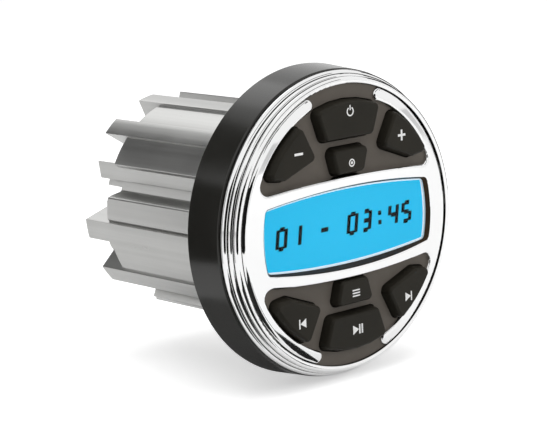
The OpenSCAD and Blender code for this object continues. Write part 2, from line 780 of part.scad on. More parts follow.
module front_frame() {
    window_r = key_reach + key_draft + skirt_reach + 2 * run;
    color([0.12, 0.12, 0.11]) difference() {
        union() {
            bar([0, 0], face_r, keypad_back_y, bezel_front_y);
            for (p = bezel_screw_places()) bar(p, boss_r - fit, keypad_back_y, board_y);
        }
        for (low = [0, 1]) mirror([0, 0, low])
            slab(keypad_back_y - past, bezel_front_y + past) disc_above(window_r, sheet_edge + keypad_ledge);
        display_block(keypad_back_y - past, bezel_front_y + past, -2 * fit);
        mirrored_four() bar([peg_x, peg_z], peg_r + fit, keypad_back_y - past, bezel_front_y + past);
        for (p = bezel_screw_places()) bar(p, bezel_screw_r, bezel_screw_end_y, board_y + past);
    }
}

module upper_keypad() {
    color([0.33, 0.31, 0.29]) keypad_sheet(0);
}

module lower_keypad() {
    color([0.33, 0.31, 0.29]) mirror([0, 0, 1]) keypad_sheet(4);
}

module button(k) {
    color([0.17, 0.16, 0.14]) key_body(k);
}

module volume_down_button() { button(0); }
module power_button() { button(1); }
module select_button() { button(2); }
module volume_up_button() { button(3); }
module previous_button() { button(4); }
module mode_button() { button(5); }
module play_button() { button(6); }
module next_button() { button(7); }

module display_lens() {
    color([0.85, 0.93, 0.97, 0.4]) slab(lens_y, glass_y)
        barrel(display_w + 2 * display_margin, display_h + 2 * display_margin);
}

module display_glass() {
    color([0.25, 0.75, 0.95]) display_block(glass_y, guide_y, 0);
}

module light_guide() {
    color("white") display_block(guide_y, tray_floor_y, tray_wall + fit);
}

module display_tray() {
    color("whitesmoke") difference() {
        display_block(guide_y, board_y, 0);
        display_block(guide_y - past, tray_floor_y, tray_wall);
    }
}

module control_board() {
    color("darkgreen") difference() {
        bar([0, 0], control_board_r, board_y, board_back_y);
        for (p = bezel_screw_places()) bar(p, bezel_screw_r + fit, board_y - past, board_back_y + past);
    }
}

module dome_switches() {
    color("gold") for (key = KEYS) mirror([key[2], 0, 0]) mirror([0, 0, key[3]])
        translate([key[1][0], board_y, key[1][1]]) rotate([90, 0, 0])
            cylinder(h = dome_h, r1 = dome_r, r2 = dome_r - dome_h);
}

module control_chip() {
    color([0.15, 0.15, 0.15]) translate([-control_chip_w / 2, board_back_y, field_edge])
        cube([control_chip_w, control_chip_t, control_chip_w]);
}

module board_connector() {
    color("ivory") translate([-connector_w / 2, board_back_y, -main_board_drop - connector_h / 2])
        cube([connector_w, main_board_y - board_back_y, connector_h]);
}

module main_board() {
    color("darkgreen") translate([-main_board_w / 2, main_board_y, -main_board_drop])
        cube([main_board_w, main_board_length, board_t]);
}

module amplifier_chip() {
    color([0.15, 0.15, 0.15]) translate([-amplifier_w / 2, sink_y + amplifier_place, pad_t - land_drop])
        cube([amplifier_w, amplifier_length, land_drop - main_board_drop - pad_t]);
}

module thermal_pad() {
    color("lightblue") translate([-amplifier_w / 2, sink_y + amplifier_place, -land_drop])
        cube([amplifier_w, amplifier_length, pad_t]);
}

module capacitors() {
    pitch = 2 * can_r + can_gap;
    color("midnightblue") for (row = [0, 1]) for (side = [-1, 1])
        translate([side * pitch / 2, sink_y + can_place + pitch * row, main_board_top])
            cylinder(h = can_h, r = can_r);
}

module tuner_module() {
    color("lightgray") translate([-tuner_w / 2, sink_y + tuner_place, main_board_top])
        cube([tuner_w, tuner_length, tuner_h]);
}

heat_sink();
rear_gasket();
rear_plate();
rear_screws();
cable_grommet();
front_housing();
mounting_collar();
panel_gasket();
sink_seal();
sink_screws();
bezel_screws();
chrome_ring();
face_plate();
front_frame();
upper_keypad();
lower_keypad();
volume_down_button();
power_button();
select_button();
volume_up_button();
previous_button();
mode_button();
play_button();
next_button();
display_lens();
display_glass();
light_guide();
display_tray();
control_board();
dome_switches();
control_chip();
board_connector();
main_board();
amplifier_chip();
thermal_pad();
capacitors();
tuner_module();
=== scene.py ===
import math

import bmesh
import bpy
from mathutils import Matrix, Vector


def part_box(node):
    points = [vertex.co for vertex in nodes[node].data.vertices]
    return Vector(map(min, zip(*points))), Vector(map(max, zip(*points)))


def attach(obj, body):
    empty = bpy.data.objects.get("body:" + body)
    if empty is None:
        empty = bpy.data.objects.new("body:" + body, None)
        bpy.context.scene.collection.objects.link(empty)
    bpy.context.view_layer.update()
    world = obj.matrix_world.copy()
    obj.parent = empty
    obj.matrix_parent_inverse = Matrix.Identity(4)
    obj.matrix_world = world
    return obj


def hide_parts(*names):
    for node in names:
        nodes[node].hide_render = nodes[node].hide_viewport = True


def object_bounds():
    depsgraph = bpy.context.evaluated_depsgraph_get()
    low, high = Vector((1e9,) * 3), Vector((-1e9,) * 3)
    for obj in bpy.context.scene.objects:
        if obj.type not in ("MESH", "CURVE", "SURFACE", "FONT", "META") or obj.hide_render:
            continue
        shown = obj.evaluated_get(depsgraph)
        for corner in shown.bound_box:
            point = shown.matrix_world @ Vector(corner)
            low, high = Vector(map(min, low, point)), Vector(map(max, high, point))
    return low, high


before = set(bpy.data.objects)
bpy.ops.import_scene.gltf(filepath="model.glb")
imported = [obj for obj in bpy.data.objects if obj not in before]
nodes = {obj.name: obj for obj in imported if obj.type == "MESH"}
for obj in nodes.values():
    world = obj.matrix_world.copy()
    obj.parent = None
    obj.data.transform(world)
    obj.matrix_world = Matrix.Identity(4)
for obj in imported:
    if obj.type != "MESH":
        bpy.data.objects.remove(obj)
cad_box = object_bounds()
MM = 0.001

KEY_NAMES = [
    "volume_down_button", "power_button", "select_button", "volume_up_button",
    "previous_button", "mode_button", "play_button", "next_button",
]
KEY_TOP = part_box("power_button")[0][1]
LENS_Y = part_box("display_lens")[0][1]
GLASS_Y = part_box("display_glass")[0][1]


# Camera, light and floor. Places and sizes are in metres, angles in degrees.

CAMERA_PLACE = (-0.45411, -0.48927, 0.12961)
CAMERA_TURN = -42.033
CAMERA_RISE = 10.899
CAMERA_ROLL = -2.369
CAMERA_LENS = 140.48
SENSOR_WIDTH = 36
NEAR_CLIP = 0.01

FLOOR_SIZE = 12
FLOOR_GAP = 0.0004
FLOOR_PAINT = (0.9, 0.9, 0.9, 1)
FLOOR_LIFT = (0.5, 0.5, 0.5, 1)
FLOOR_MIRROR_SHARE = 0.3
SKY_GREY = (0.5, 0.5, 0.5, 1)
SKY_MIRROR_SHARE = 1.0
WHITE = (1, 1, 1, 1)
BLACK = (0, 0, 0, 1)

# Each lamp's place, width, depth and power, and whether mirrors show it. All of them face the origin.
LAMPS = {
    "top_lamp": ((-0.1, -0.1, 0.9), 0.9, 0.9, 5, False),
    "front_lamp": ((0.5, -0.9, 0.35), 0.7, 0.6, 3, False),
    "rear_lamp": ((0.2, 0.72, 0.66), 0.34, 0.4, 0.32, True),
}

# Each card's place, the point that it faces, its width, height and tone
CARDS = {
    "camera_side_card": ((-0.158, -0.175, 0.03), (0, 0, 0.03), 0.24, 0.16, 0.01),
    "left_rear_card": ((-0.14, 0.075, 0), (-0.074, 0.002, 0), 0.05, 0.14, 0.05),
    "upper_left_card": ((-0.2, 0.4, 0.3), (0, 0.03, 0), 0.36, 0.3, 0.1),
    "right_rear_card": ((0.17, 0.1, -0.022), (0, 0, -0.022), 0.2, 0.055, 0.02),
    "under_card": ((0, 0.016, -0.049), (0, 0.016, 0.1), 0.14, 0.04, 0.4),
    "right_card": ((0.2, 0.04, 0.07), (0, 0.04, 0.07), 0.16, 0.18, 0.02),
    "upper_front_card": ((0.05, -0.23, 0.26), (0, 0, 0), 0.4, 0.07, 0.03),
    "low_card": ((-0.06, -0.08, -0.049), (-0.06, -0.08, 0.1), 0.06, 0.1, 0.02),
    "arm_card": ((-0.0085, -0.08, -0.049), (-0.0085, -0.08, 0.1), 0.011, 0.1, 0.02),
}


def new_material(name):
    """A new material, its node tree and its shader."""
    material = bpy.data.materials.new(name)
    material.use_nodes = True
    tree = material.node_tree
    return material, tree, tree.nodes["Principled BSDF"]


def set_inputs(node, values):
    """Sets plain values on the inputs of a node."""
    for socket, value in values.items():
        node.inputs[socket].default_value = value


def feed(tree, value, socket):
    """Links an input to an output, or sets a plain value on it."""
    if isinstance(value, bpy.types.NodeSocket):
        tree.links.new(value, socket)
    else:
        socket.default_value = value


def add_math(tree, operation, first, second):
    """The result of a calculation with two outputs or numbers."""
    node = tree.nodes.new("ShaderNodeMath")
    node.operation = operation
    feed(tree, first, node.inputs[0])
    feed(tree, second, node.inputs[1])
    return node.outputs["Value"]


def add_colour_mix(tree, factor, first, second):
    """The first colour where the factor is nought, and the second where it is one."""
    node = tree.nodes.new("ShaderNodeMix")
    node.data_type = "RGBA"
    feed(tree, factor, node.inputs["Factor"])
    feed(tree, first, node.inputs["A"])
    feed(tree, second, node.inputs["B"])
    return node.outputs["Result"]


def add_seen_rays(tree, mirror_share):
    """One for rays from the camera or through glass, a share for those from a mirror, and nought for those
    that carry light."""
    rays = tree.nodes.new("ShaderNodeLightPath")
    mirrored = add_math(tree, "MULTIPLY", rays.outputs["Is Glossy Ray"], mirror_share)
    direct = add_math(tree, "MAXIMUM", rays.outputs["Is Camera Ray"], mirrored)
    return add_math(tree, "MAXIMUM", direct, rays.outputs["Is Transmission Ray"])


def add_camera():
    """A long lens from the front left, a little above the axis, as in the photograph."""
    bpy.ops.object.camera_add(location=CAMERA_PLACE)
    camera = bpy.context.object
    turn = math.radians(CAMERA_TURN)
    rise = math.radians(CAMERA_RISE)
    roll = math.radians(CAMERA_ROLL)
    back = Vector((math.sin(turn) * math.cos(rise), -math.cos(turn) * math.cos(rise), math.sin(rise)))
    right = Vector((math.cos(turn), math.sin(turn), 0))
    up = back.cross(right)
    side = math.cos(roll) * right + math.sin(roll) * up
    top = -math.sin(roll) * right + math.cos(roll) * up
    facing = Matrix((side, top, back)).transposed().to_4x4()
    camera.matrix_world = Matrix.Translation(camera.location) @ facing
    camera.data.sensor_fit = "HORIZONTAL"
    camera.data.sensor_width = SENSOR_WIDTH
    camera.data.lens = CAMERA_LENS
    camera.data.clip_start = NEAR_CLIP
    bpy.context.scene.camera = camera


def add_lamp(name, place, width, depth, power, mirrored):
    """A soft rectangular lamp that faces the origin. Mirrors show only some, so that chrome doesn't clip."""
    bpy.ops.object.light_add(type="AREA", location=place)
    lamp = bpy.context.object
    lamp.name = name
    lamp.rotation_euler = Vector(place).to_track_quat("Z", "Y").to_euler()
    lamp.data.shape = "RECTANGLE"
    lamp.data.size = width
    lamp.data.size_y = depth
    lamp.data.energy = power
    lamp.visible_glossy = mirrored


def add_floor():
    """A pale floor under the bezel. Camera, mirror and glass rays see it lighter, so that it meets the white
    background, and the shadow stays on it."""
    bpy.ops.mesh.primitive_plane_add(size=FLOOR_SIZE, location=(0, 0, cad_box[0][2] - FLOOR_GAP))
    floor = bpy.context.object
    floor.name = "floor"
    material, tree, shader = new_material("floor_paint")
    set_inputs(shader, {
        "Base Color": FLOOR_PAINT, "Roughness": 0.9, "Specular IOR Level": 0.1, "Emission Strength": 1.0})
    lift = add_colour_mix(tree, add_seen_rays(tree, FLOOR_MIRROR_SHARE), BLACK, FLOOR_LIFT)
    tree.links.new(lift, shader.inputs["Emission Color"])
    floor.data.materials.append(material)


def add_card(name, place, aim, width, height, tone):
    """A dark or grey card out of the camera's sight, which gives bright metal its lines."""
    bpy.ops.mesh.primitive_plane_add(size=1, location=(0, 0, 0))
    card = bpy.context.object
    card.name = name
    card.scale = (width, height, 1)
    card.rotation_euler = (Vector(aim) - Vector(place)).to_track_quat("Z", "Y").to_euler()
    card.location = place
    card.visible_camera = False
    card.visible_shadow = False
    card.visible_diffuse = False
    material, _, shader = new_material(name + "_paint")
    set_inputs(shader, {"Base Color": (tone, tone, tone, 1), "Roughness": 1.0, "Specular IOR Level": 0.0})
    card.data.materials.append(material)


def set_world():
    """White to the camera, in mirrors and through glass, and a plain dimmer sky for the light itself."""
    world = bpy.data.worlds.new("studio")
    bpy.context.scene.world = world
    world.use_nodes = True
    tree = world.node_tree
    background = tree.nodes["Background"]
    sky = add_colour_mix(tree, add_seen_rays(tree, SKY_MIRROR_SHARE), SKY_GREY, WHITE)
    tree.links.new(sky, background.inputs["Color"])
    background.inputs["Strength"].default_value = 1.0


# Shader groups

def group_start(name, sockets_in, sockets_out):
    """A new shader group with named inputs and outputs, and the nodes that hold them."""
    group = bpy.data.node_groups.new(name, "ShaderNodeTree")
    for socket, kind, value in sockets_in:
        made = group.interface.new_socket(name=socket, in_out="INPUT", socket_type=kind)
        made.default_value = value
    for socket, kind in sockets_out:
        group.interface.new_socket(name=socket, in_out="OUTPUT", socket_type=kind)
    return group, group.nodes.new("NodeGroupInput"), group.nodes.new("NodeGroupOutput")


def add_noise(tree, vector, scale, detail):
    """Noise that changes with a vector."""
    node = tree.nodes.new("ShaderNodeTexNoise")
    tree.links.new(vector, node.inputs["Vector"])
    feed(tree, scale, node.inputs["Scale"])
    node.inputs["Detail"].default_value = detail
    return node.outputs["Fac"]


def make_grain():
    """Fine moulded grain: a value round 0.5 that changes over the surface, and a height."""
    group, entry, leave = group_start(
        "fine_grain",
        [("Scale", "NodeSocketFloat", 900.0), ("Patches", "NodeSocketFloat", 60.0)],
        [("Tone", "NodeSocketFloat"), ("Height", "NodeSocketFloat")])
    place = group.nodes.new("ShaderNodeTexCoord").outputs["Object"]
    fine = add_noise(group, place, entry.outputs["Scale"], detail=3)
    wide = add_noise(group, place, entry.outputs["Patches"], detail=4)
    group.links.new(wide, leave.inputs["Tone"])
    group.links.new(fine, leave.inputs["Height"])
    return group


def make_draw_lines():
    """Lines drawn along the axis by the die of an extrusion, with faint stains across them."""
    stretch_along_axis = (1, 0.012, 1)
    stain_scale = 45
    stain_share = 0.4
    group, entry, leave = group_start(
        "draw_lines",
        [("Scale", "NodeSocketFloat", 700.0)],
        [("Tone", "NodeSocketFloat"), ("Height", "NodeSocketFloat")])
    place = group.nodes.new("ShaderNodeTexCoord").outputs["Object"]
    stretch = group.nodes.new("ShaderNodeMapping")
    stretch.inputs["Scale"].default_value = stretch_along_axis
    group.links.new(place, stretch.inputs["Vector"])
    lines = add_noise(group, stretch.outputs["Vector"], entry.outputs["Scale"], detail=4)
    stains = add_noise(group, place, stain_scale, detail=3)
    both = group.nodes.new("ShaderNodeMix")
    both.data_type = "FLOAT"
    both.inputs["Factor"].default_value = stain_share
    group.links.new(lines, both.inputs["A"])
    group.links.new(stains, both.inputs["B"])
    group.links.new(both.outputs["Result"], leave.inputs["Tone"])
    group.links.new(lines, leave.inputs["Height"])
    return group


def make_groove_shade_mask():
    """A mask for the painted shade in the two grooves and at the bore edge of the ring, each given by its
    radius and depth.
    """
    grooves = {
        "Front Groove": (0.04609, -0.0179, 0),
        "Rear Groove": (0.04694, -0.01635, 0),
        "Bore Edge": (0.0443, -0.0194, 0),
    }
    group, entry, leave = group_start(
        "groove_shade_mask",
        [(name, "NodeSocketVector", place) for name, place in grooves.items()]
        + [("Core", "NodeSocketFloat", 0.0002), ("Edge", "NodeSocketFloat", 0.00042)],
        [("Mask", "NodeSocketFloat")])
    place = group.nodes.new("ShaderNodeTexCoord")
    parts = group.nodes.new("ShaderNodeSeparateXYZ")
    flat = group.nodes.new("ShaderNodeCombineXYZ")
    radius = group.nodes.new("ShaderNodeVectorMath")
    radius.operation = "LENGTH"
    profile = group.nodes.new("ShaderNodeCombineXYZ")
    group.links.new(place.outputs["Object"], parts.inputs["Vector"])
    group.links.new(parts.outputs["X"], flat.inputs["X"])
    group.links.new(parts.outputs["Z"], flat.inputs["Z"])
    group.links.new(flat.outputs["Vector"], radius.inputs[0])
    group.links.new(radius.outputs["Value"], profile.inputs["X"])
    group.links.new(parts.outputs["Y"], profile.inputs["Y"])
    nearest = None
    for groove in grooves:
        away = group.nodes.new("ShaderNodeVectorMath")
        away.operation = "DISTANCE"
        group.links.new(profile.outputs["Vector"], away.inputs[0])
        group.links.new(entry.outputs[groove], away.inputs[1])
        distance = away.outputs["Value"]
        nearest = add_math(group, "MINIMUM", nearest, distance) if nearest else distance
    fade = group.nodes.new("ShaderNodeMapRange")
    fade.interpolation_type = "SMOOTHSTEP"
    set_inputs(fade, {"To Min": 1.0, "To Max": 0.0})
    group.links.new(nearest, fade.inputs["Value"])
    group.links.new(entry.outputs["Core"], fade.inputs["From Min"])
    group.links.new(entry.outputs["Edge"], fade.inputs["From Max"])
    group.links.new(fade.outputs["Result"], leave.inputs["Mask"])
    return group


GRAIN = make_grain()
DRAW_LINES = make_draw_lines()
GROOVE_SHADE_MASK = make_groove_shade_mask()


# Finishes

TONE_LOW = 0.3
TONE_HIGH = 0.7
# Painted shade: near black laid into the ring's grooves and bore edge, where shade and dark reflections fall
GROOVE_PAINTED_SHADE = (0.02, 0.02, 0.018, 1)
# Painted light: the glow that the display rim gives by itself
RIM_PAINTED_GLOW = (0.3, 0.4, 0.46, 1)


def add_pattern(tree, group, settings):
    """A shader group with its own values."""
    pattern = tree.nodes.new("ShaderNodeGroup")
    pattern.node_tree = group
    set_inputs(pattern, settings)
    return pattern


def finish_material(name, group, settings, dark, light, rough, bump, metallic=0.0, specular=0.5):
    """A finish whose colour and roughness follow the tone of a group, and whose bump follows its height. The
    roughness has its least and most, and the bump its strength and distance."""
    material, tree, shader = new_material(name)
    pattern = add_pattern(tree, group, settings)
    colour = tree.nodes.new("ShaderNodeValToRGB")
    for element, position, tint in zip(colour.color_ramp.elements, (TONE_LOW, TONE_HIGH), (dark, light)):
        element.position = position
        element.color = (*tint, 1)
    roughness = tree.nodes.new("ShaderNodeMapRange")
    set_inputs(roughness, {
        "From Min": TONE_LOW, "From Max": TONE_HIGH, "To Min": rough[0], "To Max": rough[1]})
    relief = tree.nodes.new("ShaderNodeBump")
    set_inputs(relief, {"Strength": bump[0], "Distance": bump[1]})
    tree.links.new(pattern.outputs["Tone"], colour.inputs["Fac"])
    tree.links.new(pattern.outputs["Tone"], roughness.inputs["Value"])
    tree.links.new(pattern.outputs["Height"], relief.inputs["Height"])
    tree.links.new(colour.outputs["Color"], shader.inputs["Base Color"])
    tree.links.new(roughness.outputs["Result"], shader.inputs["Roughness"])
    tree.links.new(relief.outputs["Normal"], shader.inputs["Normal"])
    set_inputs(shader, {"Metallic": metallic, "Specular IOR Level": specular})
    return material


def make_chrome(name):
    """Bright plating with hardly any grain."""
    return finish_material(
        name, GRAIN, {"Scale": 60.0, "Patches": 25.0}, dark=(0.86, 0.86, 0.86), light=(0.92, 0.92, 0.92),
        rough=(0.03, 0.06), bump=(0.002, 0.0002), metallic=1.0)


def make_ring_chrome():
    """Bright chrome with painted shade in the grooves between the beads and along the bore."""
    material = make_chrome("ring_chrome")
    tree = material.node_tree
    shader = tree.nodes["Principled BSDF"]
    plain = shader.inputs["Base Color"].links[0].from_socket
    grooves = add_pattern(tree, GROOVE_SHADE_MASK, {})
    # Painted shade: the grooves and the bore edge are darkened in the base colour
    painted_shade = add_colour_mix(tree, grooves.outputs["Mask"], plain, GROOVE_PAINTED_SHADE)
    tree.links.new(painted_shade, shader.inputs["Base Color"])
    return material


def make_lens_material():
    """Clear plastic whose gloss changes a little over the surface."""
    material, tree, shader = new_material("clear_lens")
    pattern = add_pattern(tree, GRAIN, {"Patches": 30.0})
    roughness = tree.nodes.new("ShaderNodeMapRange")
    set_inputs(roughness, {"To Min": 0.0, "To Max": 0.03})
    tree.links.new(pattern.outputs["Tone"], roughness.inputs["Value"])
    tree.links.new(roughness.outputs["Result"], shader.inputs["Roughness"])
    set_inputs(shader, {"Base Color": (0.97, 0.985, 1.0, 1), "Transmission Weight": 1.0, "IOR": 1.15})
    return material


def make_lit_material():
    """The blue of the lit display, a little brighter towards its middle."""
    edge_blue = (0.012, 0.475, 0.79, 1)
    middle_blue = (0.018, 0.505, 0.83, 1)
    glow_scale = (24, 0, 48)
    material, tree, shader = new_material("lit_display")
    place = tree.nodes.new("ShaderNodeTexCoord")
    spread = tree.nodes.new("ShaderNodeMapping")
    spread.inputs["Scale"].default_value = glow_scale
    fall = tree.nodes.new("ShaderNodeTexGradient")
    fall.gradient_type = "SPHERICAL"
    colour = tree.nodes.new("ShaderNodeValToRGB")
    colour.color_ramp.elements[0].color = edge_blue
    colour.color_ramp.elements[1].color = middle_blue
    tree.links.new(place.outputs["Object"], spread.inputs["Vector"])
    tree.links.new(spread.outputs["Vector"], fall.inputs["Vector"])
    tree.links.new(fall.outputs["Fac"], colour.inputs["Fac"])
    tree.links.new(colour.outputs["Color"], shader.inputs["Emission Color"])
    set_inputs(shader, {
        "Emission Strength": 1.0, "Base Color": (0.005, 0.03, 0.05, 1), "Roughness": 0.6,
        "Specular IOR Level": 0.0})
    return material


SINK_ALUMINIUM = finish_material(
    "sink_aluminium", DRAW_LINES, {"Scale": 700.0}, dark=(0.43, 0.43, 0.42), light=(0.52, 0.52, 0.51),
    rough=(0.26, 0.36), bump=(0.15, 0.0002), metallic=1.0)
BEZEL_PLASTIC = finish_material(
    "bezel_plastic", GRAIN, {"Scale": 1600.0, "Patches": 40.0}, dark=(0.0105, 0.0103, 0.0084),
    light=(0.016, 0.0154, 0.013), rough=(0.16, 0.22), bump=(0.1, 0.0001))
CHROME = make_chrome("bright_chrome")
RING_CHROME = make_ring_chrome()
# Painted shade: near black-brown on the chrome walls of the window, standing in for their dark reflection
WINDOW_PAINTED_SHADE = finish_material(
    "window_painted_shade", GRAIN, {"Scale": 900.0, "Patches": 60.0}, dark=(0.03, 0.018, 0.01),
    light=(0.045, 0.028, 0.016), rough=(0.35, 0.45), bump=(0.05, 0.0001), specular=0.08)
KEYPAD_RUBBER = finish_material(
    "keypad_rubber", GRAIN, {"Scale": 1800.0, "Patches": 80.0}, dark=(0.096, 0.084, 0.071),
    light=(0.118, 0.104, 0.089), rough=(0.5, 0.62), bump=(0.15, 0.0001), specular=0.2)
KEY_RUBBER = finish_material(
    "key_rubber", GRAIN, {"Scale": 1800.0, "Patches": 80.0}, dark=(0.0148, 0.0132, 0.0096),
    light=(0.021, 0.0187, 0.014), rough=(0.42, 0.54), bump=(0.12, 0.0001), specular=0.12)
GASKET_RUBBER = finish_material(
    "gasket_rubber", GRAIN, {"Scale": 1200.0, "Patches": 50.0}, dark=(0.018, 0.018, 0.018),
    light=(0.032, 0.032, 0.031), rough=(0.7, 0.85), bump=(0.3, 0.0002))
SCREW_STEEL = finish_material(
    "screw_steel", GRAIN, {"Scale": 1400.0, "Patches": 120.0}, dark=(0.5, 0.5, 0.5), light=(0.62, 0.62, 0.62),
    rough=(0.25, 0.4), bump=(0.08, 0.0001), metallic=1.0)
COATED_METAL = finish_material(
    "coated_metal", GRAIN, {"Scale": 900.0, "Patches": 40.0}, dark=(0.02, 0.02, 0.02),
    light=(0.035, 0.035, 0.034), rough=(0.4, 0.55), bump=(0.35, 0.0002))
WHITE_PLASTIC = finish_material(
    "white_plastic", GRAIN, {"Scale": 900.0, "Patches": 40.0}, dark=(0.74, 0.74, 0.72),
    light=(0.82, 0.82, 0.8), rough=(0.45, 0.55), bump=(0.1, 0.0001))
BOARD_GREEN = finish_material(
    "board_green", GRAIN, {"Scale": 700.0, "Patches": 90.0}, dark=(0.01, 0.11, 0.04),
    light=(0.02, 0.17, 0.06), rough=(0.3, 0.42), bump=(0.15, 0.0001))
CHIP_BLACK = finish_material(
    "chip_black", GRAIN, {"Scale": 1500.0, "Patches": 90.0}, dark=(0.012, 0.012, 0.012),
    light=(0.022, 0.022, 0.022), rough=(0.5, 0.62), bump=(0.2, 0.0001))
CONTACT_METAL = finish_material(
    "contact_metal", GRAIN, {"Scale": 900.0, "Patches": 150.0}, dark=(0.6, 0.46, 0.2), light=(0.76, 0.6, 0.3),
    rough=(0.22, 0.36), bump=(0.05, 0.0001), metallic=1.0)
SLEEVE_BLUE = finish_material(
    "sleeve_blue", GRAIN, {"Scale": 600.0, "Patches": 90.0}, dark=(0.015, 0.02, 0.09),
    light=(0.025, 0.035, 0.13), rough=(0.25, 0.38), bump=(0.05, 0.0001))
PAD_BLUE = finish_material(
    "pad_blue", GRAIN, {"Scale": 900.0, "Patches": 70.0}, dark=(0.32, 0.5, 0.6), light=(0.42, 0.62, 0.72),
    rough=(0.7, 0.85), bump=(0.2, 0.0001))
SIGN_WHITE = finish_material(
    "sign_white", GRAIN, {"Scale": 1500.0, "Patches": 300.0}, dark=(0.72, 0.72, 0.71),
    light=(0.84, 0.84, 0.83), rough=(0.5, 0.6), bump=(0.05, 0.0001))
RIM_WHITE_PAINTED_GLOW = finish_material(
    "rim_white_painted_glow", GRAIN, {"Scale": 900.0, "Patches": 60.0}, dark=(0.62, 0.64, 0.66), light=(0.7, 0.72, 0.74),
    rough=(0.5, 0.6), bump=(0.03, 0.0001))
# Painted light: the rim glows by itself, though it is no lamp
set_inputs(RIM_WHITE_PAINTED_GLOW.node_tree.nodes["Principled BSDF"], {
    "Emission Color": RIM_PAINTED_GLOW, "Emission Strength": 1.0})
DIGIT_BLACK = finish_material(
    "digit_black", GRAIN, {"Scale": 900.0, "Patches": 200.0}, dark=(0.001, 0.0012, 0.0015),
    light=(0.003, 0.0035, 0.004), rough=(0.5, 0.6), bump=(0.0, 0.0001), specular=0.0)
CLEAR_LENS = make_lens_material()
LIT_DISPLAY = make_lit_material()


# Tools for shaping pieces

MERGE_DISTANCE = 0.002 * MM
LEVEL_SLACK = 0.01 * MM
FLAT_ANGLE = 0.3
MOULDED_FLAT_ANGLE = 0.4
LARGE_FACE_WEIGHT = 80
UPRIGHT = (math.pi / 2, 0, 0)


def open_piece(name, mesh):
    """A new object with a mesh, alone in the selection and open in edit mode."""
    bpy.ops.object.select_all(action="DESELECT")
    piece = bpy.data.objects.new(name, mesh)
    bpy.context.collection.objects.link(piece)
    piece.select_set(True)
    bpy.context.view_layer.objects.active = piece
    bpy.ops.object.mode_set(mode="EDIT")
    return piece


def open_node_copy(node, name):
    """A copy of a CAD node's mesh with its loose triangles joined, left open in edit mode."""
    piece = open_piece(name, nodes[node].data.copy())
    bpy.ops.mesh.select_all(action="SELECT")
    bpy.ops.mesh.customdata_custom_splitnormals_clear()
    bpy.ops.mesh.remove_doubles(threshold=MERGE_DISTANCE)
    return piece


def open_sheet(name):
    """An empty mesh that takes flat shapes, left open in edit mode."""
    return open_piece(name, bpy.data.meshes.new(name))


def join_flat_faces(angle):
    """Joins the selected faces that meet at less than an angle in degrees."""
    bpy.ops.mesh.dissolve_limited(angle_limit=math.radians(angle))


def select_where(kind, test):
    """Selects the edges (EDGE) or faces (FACE) of the open mesh that pass a test."""
    bpy.ops.mesh.select_mode(type=kind)
    bpy.ops.mesh.select_all(action="DESELECT")
    mesh = bmesh.from_edit_mesh(bpy.context.object.data)
    for part in mesh.edges if kind == "EDGE" else mesh.faces:
        part.select_set(test(part))
    mesh.select_flush_mode()
    bmesh.update_edit_mesh(bpy.context.object.data)


def middle(edge):
    """The point halfway along an edge."""
    return (edge.verts[0].co + edge.verts[1].co) / 2


def reach(place):
    """Distance from the axis."""
    return math.hypot(place.x, place.z)


def set_reach(vert, distance):
    """Moves a vertex to a distance from the axis."""
    share = distance / reach(vert.co)
    vert.co.x *= share
    vert.co.z *= share


def clamp(share):
    """A share held between nought and one."""
    return min(max(share, 0), 1)


def is_ridge(edge, angle):
    """True for an outer edge that is sharper than an angle in degrees."""
    return edge.is_manifold and edge.is_convex and edge.calc_face_angle() > math.radians(angle)


def apply_modifier(piece, kind, **settings):
    """Adds a modifier to the active piece and applies it."""
    modifier = piece.modifiers.new(kind.lower(), kind)
    for name, value in settings.items():
        setattr(modifier, name, value)
    bpy.ops.object.modifier_apply(modifier=modifier.name)


def close_smooth(piece, angle):
    """Leaves edit mode, shades smoothly up to an angle and lets the large faces lead the shading."""
    bpy.ops.object.mode_set(mode="OBJECT")
    bpy.ops.object.shade_smooth_by_angle(angle=math.radians(angle))
    apply_modifier(piece, "WEIGHTED_NORMAL", weight=LARGE_FACE_WEIGHT, keep_sharp=True)


def finish_piece(piece, material, body, slot, *replaced):
    """Gives a piece its finish, its body and the CAD nodes that it stands for. The slot is not used."""
    piece.data.materials.clear()
    piece.data.materials.append(material)
    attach(piece, body)
    if replaced:
        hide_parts(*replaced)


def dress(material, *names):
    """Gives CAD nodes a finish."""
    for name in names:
        mesh = nodes[name].data
        mesh.materials.clear()
        mesh.materials.append(material)


# Face plate. Sizes without MM are in millimetres.

CROWN_Y = KEY_TOP - 0.4 * MM
CROWN_R = 330 * MM
CROWN_SLACK = 0.03 * MM
CROWN_SHADE_SLACK = 0.003 * MM
FACE_DEPTH = 2.4 * MM
WINDOW_HALF_WIDTH = 38.6 * MM
WINDOW_HALF_HEIGHT = 13.8 * MM
LIP = 0.5
# The outer rounding gets smaller towards the top and bottom, and that of the arms larger towards the rim
OUTER_ROUND = 1.8
OUTER_THINNING = 0.9
OUTER_REACH = 43.9
THINNING_START = 30
THINNING_SPAN = 9
ARM_ROUND = 0.75
ARM_ROUND_GAIN = 0.35
ARM_START = 30
ARM_SPAN = 8
PLATE_RIDGE_ANGLE = 20
PLATE_ROUND_STEPS = 6
PLATE_SMOOTH_ANGLE = 32
GRID_LINES = 14
GRID_STEP = 3


def crown_drop(place):
    """How far the crown has fallen at a place."""
    return CROWN_R - math.sqrt(CROWN_R ** 2 - reach(place) ** 2)


def crown_depth(place):
    """How far a place lies behind the crown."""
    return place.y - CROWN_Y - crown_drop(place)


def in_window(place):
    """True in the display opening of the face plate."""
    return abs(place.z) < WINDOW_HALF_HEIGHT and abs(place.x) < WINDOW_HALF_WIDTH


def plate_rounding(edge):
    """Radius of the rounded edge of the face plate at a place, in millimetres."""
    place = middle(edge)
    across = reach(place) / MM
    if across > OUTER_REACH:
        return OUTER_ROUND - OUTER_THINNING * clamp((abs(place.z) / MM - THINNING_START) / THINNING_SPAN)
    if in_window(place):
        return LIP
    return ARM_ROUND + ARM_ROUND_GAIN * clamp((across - ARM_START) / ARM_SPAN)


